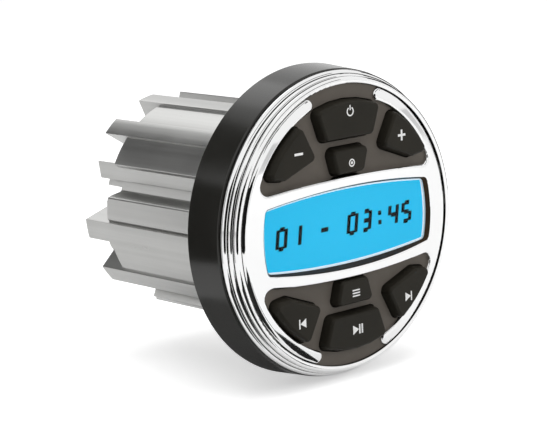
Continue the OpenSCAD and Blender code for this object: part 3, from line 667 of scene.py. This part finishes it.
def lay_plate_flat(plate):
    """Lays the crown of the open plate flat and joins its faces."""
    mesh = bmesh.from_edit_mesh(plate.data)
    for vert in mesh.verts:
        if abs(crown_depth(vert.co)) < CROWN_SLACK:
            vert.co.y = CROWN_Y
    mesh.normal_update()
    bmesh.update_edit_mesh(plate.data)
    join_flat_faces(MOULDED_FLAT_ANGLE)


def round_plate_edges(plate):
    """Rounds the front edges of the flat plate, each by its own radius, and leaves edit mode."""
    mesh = bmesh.from_edit_mesh(plate.data)
    weight = mesh.edges.layers.float.new("bevel_weight_edge")
    for edge in mesh.edges:
        in_front = all(abs(v.co.y - CROWN_Y) < LEVEL_SLACK for v in edge.verts)
        if in_front and is_ridge(edge, PLATE_RIDGE_ANGLE):
            edge[weight] = plate_rounding(edge) / OUTER_ROUND
    bmesh.update_edit_mesh(plate.data)
    bpy.ops.object.mode_set(mode="OBJECT")
    apply_modifier(plate, "BEVEL", limit_method="WEIGHT", width=OUTER_ROUND * MM, segments=PLATE_ROUND_STEPS,
                   use_clamp_overlap=False)


def crown_plate(plate):
    """Cuts the flat plate along a grid and bends it to the crown. The walls of the window bend less towards
    the lens."""
    bpy.ops.object.mode_set(mode="EDIT")
    for line in range(-GRID_LINES, GRID_LINES + 1):
        place = line * GRID_STEP * MM
        for normal in ((1, 0, 0), (0, 0, 1)):
            bpy.ops.mesh.select_all(action="SELECT")
            bpy.ops.mesh.bisect(plane_co=(place, 0, place), plane_no=normal)
    mesh = bmesh.from_edit_mesh(plate.data)
    for vert in mesh.verts:
        if in_window(vert.co):
            share = (LENS_Y - vert.co.y) / (LENS_Y - CROWN_Y - LIP * MM)
            vert.co.y += crown_drop(vert.co) * clamp(share)
        elif vert.co.y - CROWN_Y < FACE_DEPTH:
            vert.co.y += crown_drop(vert.co)
    bmesh.update_edit_mesh(plate.data)


def shade_crown(plate):
    """Gives the crown the normals of its sphere, so that its reflections have no facets."""
    centre = Vector((0, CROWN_Y + CROWN_R, 0))
    normals = [corner.vector.copy() for corner in plate.data.corner_normals]
    for loop in plate.data.loops:
        place = plate.data.vertices[loop.vertex_index].co
        if abs(crown_depth(place)) < CROWN_SHADE_SLACK:
            normals[loop.index] = (place - centre).normalized()
    plate.data.normals_split_custom_set(normals)


def make_face_plate():
    """The CAD plate laid flat, with round edges, and crowned again. The walls of its window get painted
    shade, near black in place of the dark reflection of their chrome.
    """
    plate = open_node_copy("face_plate", "chrome_face_plate")
    lay_plate_flat(plate)
    round_plate_edges(plate)
    crown_plate(plate)
    close_smooth(plate, PLATE_SMOOTH_ANGLE)
    shade_crown(plate)
    finish_piece(plate, CHROME, "stereo", "chrome", "face_plate")
    # Painted shade on the window walls, which stay part of the chrome plate
    plate.data.materials.append(WINDOW_PAINTED_SHADE)
    for face in plate.data.polygons:
        if in_window(face.center) and crown_depth(face.center) > LIP * MM / 2:
            face.material_index = 1


# Finned body. Sizes without MM are in millimetres, angles in degrees.

WALL_R = 35.0
WALL_INNER_R = 19.0
WALL_FRONT = 8.3
WALL_END = 57.0
WALL_TURN = 2.5
WALL_STEPS = 720
# Angle at which each trough starts, begins to rise and ends, and the distance of its floor from the axis
TROUGHS = ((-1.0, 9.0, 9.4, 32.0), (65.4, 78.0, 83.5, 29.6), (137.0, 151.5, 152.5, 30.5))
# Angle and depth of each seam
SEAMS = ((21.4, 0.8), (95.9, 0.9), (125.2, 0.5))
SEAM_HALF_ANGLE = 0.8
BODY_RIDGE_ANGLE = 28
BODY_ROUND = 0.28 * MM
BODY_ROUND_STEPS = 2
BODY_SMOOTH_ANGLE = 32
BODY_CORE_R = 24 * MM
BODY_FRONT = 8.01 * MM


def wall_reach(angle):
    """Distance of the round wall from the axis at an angle from the top, in millimetres and degrees."""
    turned = abs((angle - WALL_TURN + 180) % 360 - 180)
    for start, rise, end, floor in TROUGHS:
        if start < turned < end:
            # The rise starts and ends gently
            share = max(0, (turned - rise) / (end - rise))
            return floor + (WALL_R - floor) * share * share * (3 - 2 * share)
    cuts = (depth * (1 - abs(turned - place) / SEAM_HALF_ANGLE) for place, depth in SEAMS)
    return WALL_R - sum(max(0, cut) for cut in cuts)


def make_round_wall():
    """The round wall between the fins, with a trough at the top, under each short fin and beside the foot,
    and with seams along some of the fins."""
    wall = open_sheet("round_wall")
    bpy.ops.mesh.primitive_circle_add(
        vertices=WALL_STEPS, radius=WALL_R * MM, fill_type="NOTHING", location=(0, WALL_FRONT * MM, 0),
        rotation=UPRIGHT)
    mesh = bmesh.from_edit_mesh(wall.data)
    for vert in mesh.verts:
        set_reach(vert, wall_reach(math.degrees(math.atan2(vert.co.x, vert.co.z))) * MM)
    bmesh.update_edit_mesh(wall.data)
    bpy.ops.mesh.extrude_edges_move()
    mesh = bmesh.from_edit_mesh(wall.data)
    for vert in mesh.verts:
        if vert.select:
            set_reach(vert, WALL_INNER_R * MM)
    bmesh.update_edit_mesh(wall.data)
    bpy.ops.mesh.select_all(action="SELECT")
    bpy.ops.mesh.extrude_region_move(TRANSFORM_OT_translate={"value": (0, (WALL_END - WALL_FRONT) * MM, 0)})
    bpy.ops.mesh.select_all(action="SELECT")
    bpy.ops.mesh.normals_make_consistent(inside=False)
    bpy.ops.object.mode_set(mode="OBJECT")
    return wall


def make_finned_body():
    """The extruded body, joined to the round wall between its fins, with its edges slightly rounded."""
    wall = make_round_wall()
    body = open_node_copy("heat_sink", "finned_body")
    bpy.ops.object.mode_set(mode="OBJECT")
    apply_modifier(body, "BOOLEAN", operation="UNION", solver="EXACT", object=wall)
    bpy.data.objects.remove(wall)
    bpy.ops.object.mode_set(mode="EDIT")
    bpy.ops.mesh.select_all(action="SELECT")
    bpy.ops.mesh.remove_doubles(threshold=MERGE_DISTANCE)
    join_flat_faces(FLAT_ANGLE)
    select_where("EDGE", lambda e: is_ridge(e, BODY_RIDGE_ANGLE)
                 and min(reach(v.co) for v in e.verts) > BODY_CORE_R
                 and middle(e).y > BODY_FRONT)
    bpy.ops.mesh.bevel(offset=BODY_ROUND, segments=BODY_ROUND_STEPS, affect="EDGES", clamp_overlap=False)
    close_smooth(body, BODY_SMOOTH_ANGLE)
    finish_piece(body, SINK_ALUMINIUM, "stereo", "sink_aluminium", "heat_sink")


# Keys and the signs on them. Sizes without MM are in millimetres, angles in degrees.

KEY_RIDGE_ANGLE = 16
KEY_CAP_DEPTH = 1.3 * MM
KEY_ROUND = 0.28 * MM
KEY_ROUND_STEPS = 3
KEY_SMOOTH_ANGLE = 40
SIGN_Y = KEY_TOP - 0.04 * MM
SIGN_DEPTH = 0.06 * MM
HOOP_STEPS = 72
HOOP_SLACK = 1.05
VOLUME_Z = 25.7
PLUS_ARM = 1.05
SKIP_Z = -26.6
PLAY_Z = -32.9
MODE_Z = -21.2
MODE_PITCH = 0.9


def make_keys():
    """The keys with the edges of their tops and their flanks rounded as moulded rubber is."""
    for name in KEY_NAMES:
        key = open_node_copy(name, name + "_cap")
        join_flat_faces(MOULDED_FLAT_ANGLE)
        select_where("EDGE", lambda e: is_ridge(e, KEY_RIDGE_ANGLE)
                     and max(v.co.y for v in e.verts) < KEY_TOP + KEY_CAP_DEPTH
                     and abs(e.verts[0].co.y - e.verts[1].co.y) < LEVEL_SLACK)
        bpy.ops.mesh.bevel(offset=KEY_ROUND, segments=KEY_ROUND_STEPS, affect="EDGES", clamp_overlap=False)
        close_smooth(key, KEY_SMOOTH_ANGLE)
        finish_piece(key, KEY_RUBBER, name, "key_rubber", name)


def add_bar(x, z, width, height, slant=0.0):
    """A flat bar in the open sheet, seen from the front; slant is in degrees."""
    centre = (x * MM, SIGN_Y, z * MM)
    bpy.ops.mesh.primitive_plane_add(size=1, location=centre, rotation=UPRIGHT)
    bpy.ops.transform.resize(value=(width * MM, 1, height * MM), center_override=centre)
    if slant:
        shift = math.tan(math.radians(slant))
        mesh = bmesh.from_edit_mesh(bpy.context.object.data)
        for vert in mesh.verts:
            if vert.select:
                vert.co.x += (vert.co.z - z * MM) * shift


def add_triangle(x, z, width, height, way):
    """A flat triangle in the open sheet that points right (1) or left (-1)."""
    centre = (x * MM, SIGN_Y, z * MM)
    # A triangle in a circle of radius 1 is 1.5 from base to tip, with sides of root 3
    full_width = 1.5
    full_height = math.sqrt(3)
    bpy.ops.mesh.primitive_circle_add(
        vertices=3, radius=1, fill_type="NGON", location=centre, rotation=UPRIGHT)
    bpy.ops.transform.rotate(value=-math.pi / 2 * way, orient_axis="Y", center_override=centre)
    bpy.ops.transform.resize(
        value=(width / full_width * MM, 1, height / full_height * MM), center_override=centre)


def add_hoop(x, z, radius, stroke, gap=0.0):
    """A flat hoop in the open sheet, open at its top by a gap in degrees."""
    centre = (x * MM, SIGN_Y, z * MM)
    bpy.ops.mesh.primitive_circle_add(
        vertices=HOOP_STEPS, radius=radius * MM, fill_type="NOTHING", location=centre, rotation=UPRIGHT)
    bpy.ops.mesh.extrude_edges_move()
    inner = 1 - stroke / radius
    bpy.ops.transform.resize(value=(inner, 1, inner), center_override=centre)
    if gap:
        def in_gap(face):
            place = face.calc_center_median() - Vector(centre)
            in_hoop = place.length < HOOP_SLACK * radius * MM
            return in_hoop and abs(math.atan2(place.x, place.z)) < math.radians(gap / 2)
        select_where("FACE", in_gap)
        bpy.ops.mesh.delete(type="FACE")


def close_print(sheet, thickness):
    """Turns the flat shapes of a sheet to the front and gives them the thickness of a print."""
    bpy.ops.mesh.select_all(action="SELECT")
    bpy.ops.mesh.normals_make_consistent(inside=False)
    mesh = bmesh.from_edit_mesh(sheet.data)
    for face in mesh.faces:
        if face.normal.y > 0:
            face.normal_flip()
    bmesh.update_edit_mesh(sheet.data)
    bpy.ops.object.mode_set(mode="OBJECT")
    apply_modifier(sheet, "SOLIDIFY", thickness=thickness, offset=-1.0)


# The shapes of each sign, with the values that their functions take
SIGNS = {
    "volume_down": [(add_bar, -22.2, VOLUME_Z, 3.5, 0.75)],
    "volume_up": [
        (add_bar, 22.2, VOLUME_Z, 3.3, 0.75),
        (add_bar, 22.2, VOLUME_Z + PLUS_ARM, 0.75, 1.35),
        (add_bar, 22.2, VOLUME_Z - PLUS_ARM, 0.75, 1.35),
    ],
    "power": [(add_hoop, 0, 36.0, 1.5, 0.42, 64), (add_bar, 0, 37.2, 0.42, 1.6)],
    "select": [(add_hoop, 0, 20.0, 1.25, 0.4), (add_hoop, 0, 20.0, 0.45, 0.43)],
    "previous": [(add_bar, -24.5, SKIP_Z, 0.5, 3.0), (add_triangle, -22.6, SKIP_Z, 2.4, 2.9, -1)],
    "next": [(add_bar, 24.5, SKIP_Z, 0.5, 3.0), (add_triangle, 22.6, SKIP_Z, 2.4, 2.9, 1)],
    "mode": [(add_bar, 0, MODE_Z + row * MODE_PITCH, 3.2, 0.42) for row in (-1, 0, 1)],
    "play": [
        (add_triangle, -1.1, PLAY_Z, 2.5, 3.0, 1),
        (add_bar, 0.95, PLAY_Z, 0.62, 3.0),
        (add_bar, 2.05, PLAY_Z, 0.62, 3.0),
    ],
}


def make_signs():
    """White signs printed on the key tops."""
    for name, shapes in SIGNS.items():
        sheet = open_sheet(name + "_sign")
        for add_shape, *values in shapes:
            add_shape(*values)
        close_print(sheet, SIGN_DEPTH)
        finish_piece(sheet, SIGN_WHITE, name + "_button", "white_plastic")


# Display. Sizes without MM are in millimetres, angles in degrees.

DISPLAY_NUMBERS = "01 - 03:45"
# Each bar's place across and up, and whether it lies flat
SEGMENTS = {
    "a": (0, 1, True), "b": (1, 0.5, False), "c": (1, -0.5, False), "d": (0, -1, True),
    "e": (-1, -0.5, False), "f": (-1, 0.5, False), "g": (0, 0, True),
}
DIGITS = {"0": "abcdef", "1": "bc", "3": "abcdg", "4": "bcfg", "5": "acdfg", "-": "g"}
DIGIT_HALF_WIDTH = 1.68
DIGIT_HALF_HEIGHT = 2.95
DIGIT_STROKE = 1.4
DIGIT_SLANT = 8
DIGIT_START = -27.3
DIGIT_PITCH = 6.03
DASH_CUT = 0.3
COLON_REACH = 1.5
COLON_DOT = 1.4
DIGIT_LIFT = 0.06 * MM
DIGIT_DEPTH = 0.05 * MM
LENS_DEPTH = 0.5 * MM
LENS_SMOOTH_ANGLE = 30
RIM_WIDTH = 1.6 * MM
RIM_LIFT = 0.12 * MM
RIM_DEPTH = 0.1 * MM
FACING = 0.9


def make_digits():
    """Plain numbers of slanted bars on the lit glass."""
    sheet = open_sheet("display_digits")
    slope = math.tan(math.radians(DIGIT_SLANT))
    for place, sign in enumerate(DISPLAY_NUMBERS):
        x = DIGIT_START + DIGIT_PITCH * place
        if sign == ":":
            for z in (-COLON_REACH, COLON_REACH):
                add_bar(x, z, COLON_DOT, COLON_DOT)
        for segment in DIGITS.get(sign, ""):
            across, up, flat = SEGMENTS[segment]
            z = up * DIGIT_HALF_HEIGHT
            lean = slope * z
            if flat:
                cut = DASH_CUT if sign == "-" else DIGIT_STROKE
                add_bar(x + lean, z, 2 * DIGIT_HALF_WIDTH - cut, DIGIT_STROKE, DIGIT_SLANT)
            else:
                add_bar(x + across * DIGIT_HALF_WIDTH + lean, z, DIGIT_STROKE, DIGIT_HALF_HEIGHT, DIGIT_SLANT)
    bpy.ops.mesh.select_all(action="SELECT")
    bpy.ops.transform.translate(value=(0, GLASS_Y - DIGIT_LIFT - SIGN_Y, 0))
    close_print(sheet, DIGIT_DEPTH)
    finish_piece(sheet, DIGIT_BLACK, "stereo", "display")


def make_lens():
    """The clear lens, thin enough to leave room for the digits behind it."""
    lens = open_node_copy("display_lens", "clear_display_lens")
    join_flat_faces(FLAT_ANGLE)
    select_where("FACE", lambda f: f.normal.y > FACING)
    bpy.ops.transform.translate(value=(0, LENS_Y + LENS_DEPTH - GLASS_Y, 0))
    close_smooth(lens, LENS_SMOOTH_ANGLE)
    finish_piece(lens, CLEAR_LENS, "stereo", "clear_lens", "display_lens")


def make_display_rim():
    """The pale rim of the lit area, just inside the opening, with a painted glow."""
    rim = open_node_copy("display_lens", "display_rim")
    join_flat_faces(FLAT_ANGLE)
    select_where("FACE", lambda f: f.normal.y > -FACING)
    bpy.ops.mesh.delete(type="FACE")
    bpy.ops.mesh.select_all(action="SELECT")
    bpy.ops.mesh.inset(thickness=RIM_WIDTH)
    bpy.ops.mesh.delete(type="FACE")
    bpy.ops.mesh.select_all(action="SELECT")
    bpy.ops.transform.translate(value=(0, GLASS_Y - RIM_LIFT - LENS_Y, 0))
    bpy.ops.object.mode_set(mode="OBJECT")
    apply_modifier(rim, "SOLIDIFY", thickness=RIM_DEPTH, offset=-1.0)
    finish_piece(rim, RIM_WHITE_PAINTED_GLOW, "stereo", "white_plastic")


# The whole object and its stage

dress(BEZEL_PLASTIC, "front_housing", "mounting_collar", "front_frame")
dress(RING_CHROME, "chrome_ring")
dress(KEYPAD_RUBBER, "upper_keypad", "lower_keypad")
dress(GASKET_RUBBER, "panel_gasket", "rear_gasket", "sink_seal", "cable_grommet")
dress(SCREW_STEEL, "rear_screws", "sink_screws", "bezel_screws", "tuner_module")
dress(COATED_METAL, "rear_plate")
dress(LIT_DISPLAY, "display_glass")
dress(WHITE_PLASTIC, "light_guide", "display_tray", "board_connector")
dress(BOARD_GREEN, "control_board", "main_board")
dress(CHIP_BLACK, "control_chip", "amplifier_chip")
dress(CONTACT_METAL, "dome_switches")
dress(SLEEVE_BLUE, "capacitors")
dress(PAD_BLUE, "thermal_pad")

make_face_plate()
make_finned_body()
make_keys()
make_signs()
make_lens()
make_display_rim()
make_digits()

add_camera()
add_floor()
set_world()
for lamp_name, lamp_values in LAMPS.items():
    add_lamp(lamp_name, *lamp_values)
for card_name, card_values in CARDS.items():
    add_card(card_name, *card_values)
bpy.context.scene.view_settings.view_transform = "Standard"
